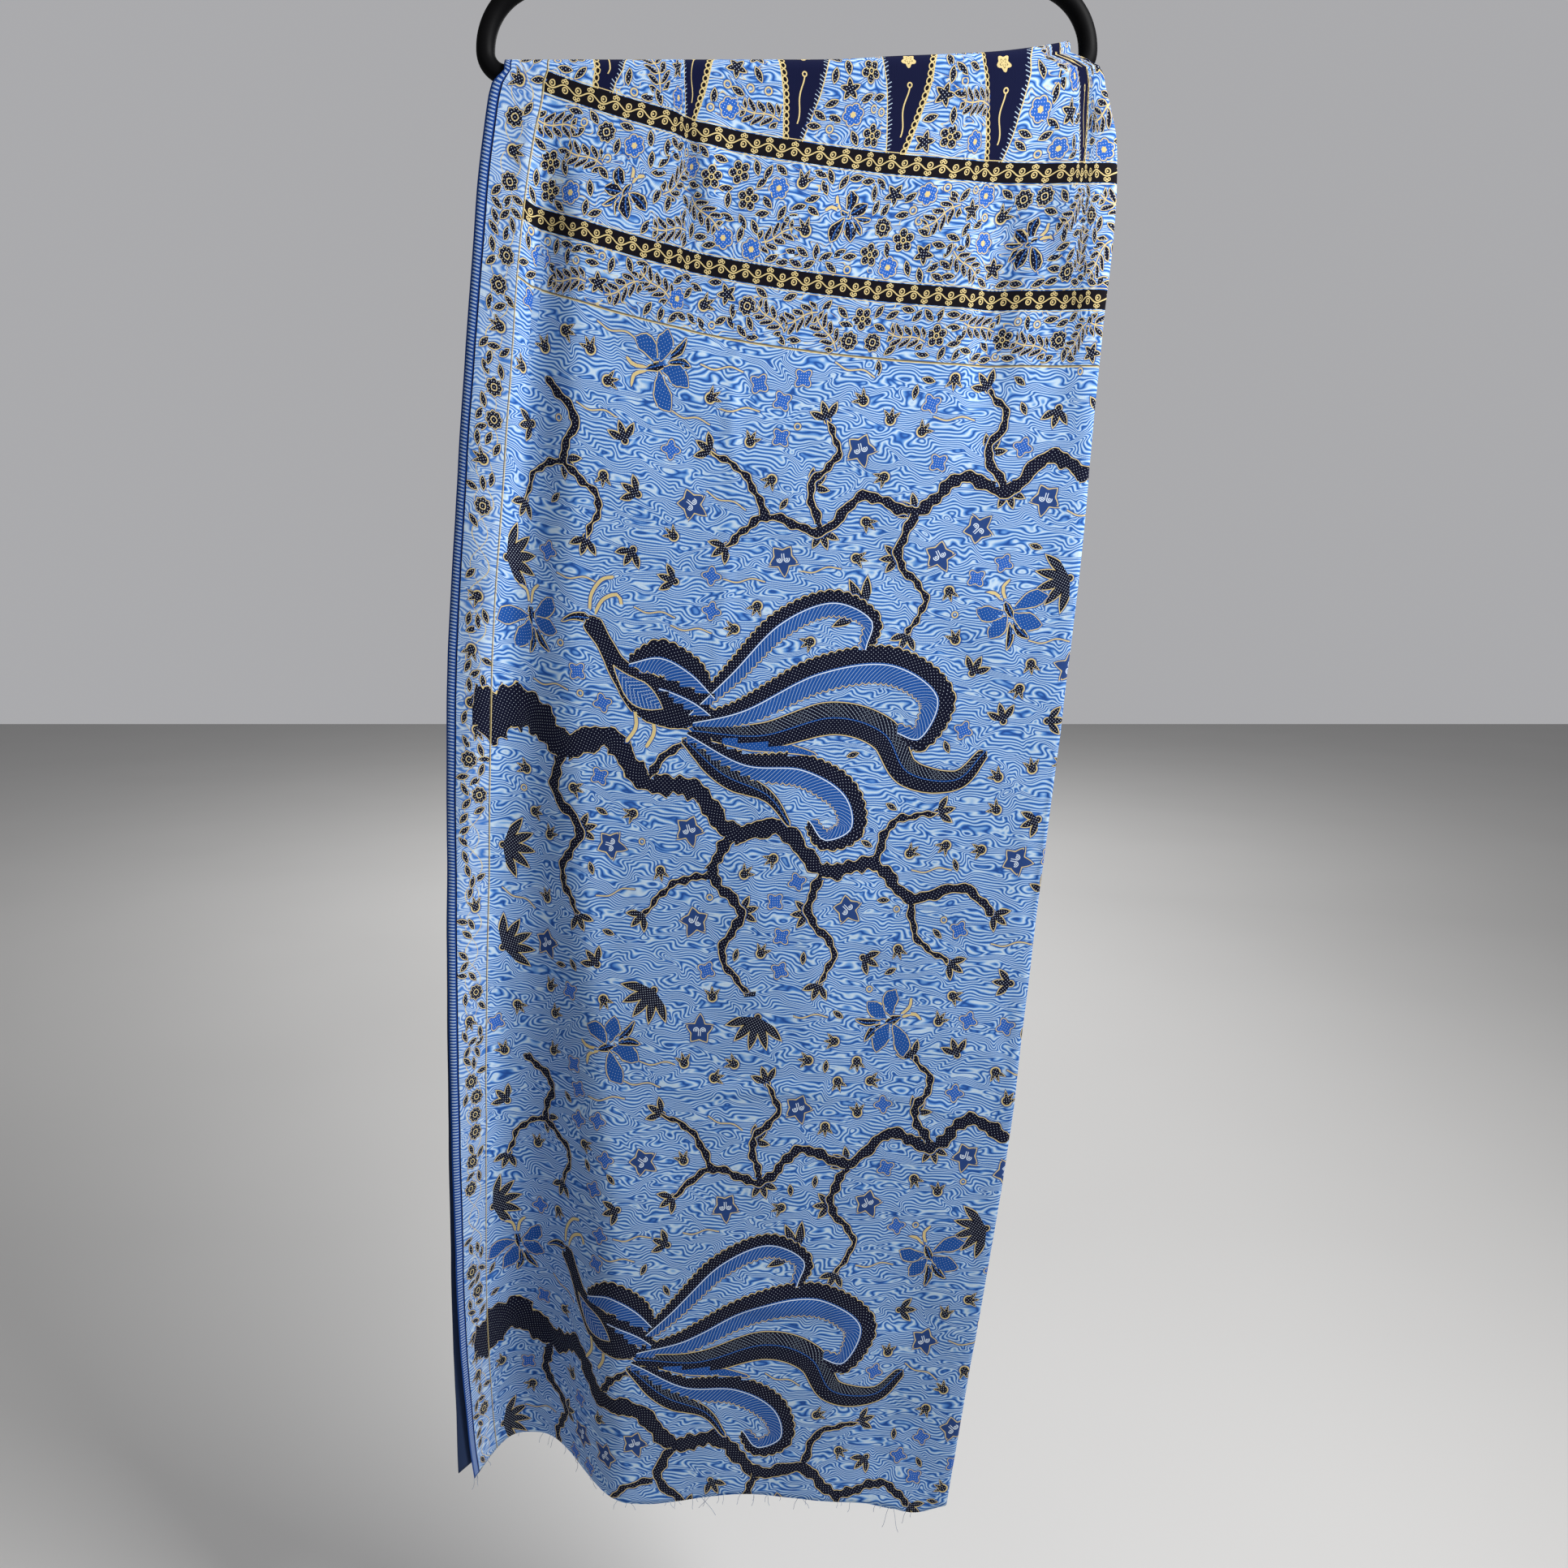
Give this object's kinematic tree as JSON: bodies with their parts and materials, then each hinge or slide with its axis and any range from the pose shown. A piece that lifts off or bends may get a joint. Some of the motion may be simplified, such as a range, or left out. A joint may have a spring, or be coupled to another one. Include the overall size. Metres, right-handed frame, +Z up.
{
  "type": "batik sarong on a coat hanger",
  "caption": "Batik sarong cloth folded once lengthwise and hung over the bar of a tubular coat hanger, with a long front fall and a shorter back fall.",
  "frame": {"origin": "inside top of the hanger's hook, where a rail carries it", "axes": "+Z up along the hanging cloth, -Y out of the front fall, +X towards the folded edge of the cloth"},
  "size_m": [0.535, 0.0904, 1.4017],
  "materials": {
    "printed_cotton": "printed plain weave cotton",
    "black_plastic": "moulded, satin"
  },
  "bodies": {
    "root": {"cloth_front": "printed_cotton", "cloth_back": "printed_cotton", "hanger": "black_plastic"}
  },
  "joints": []
}
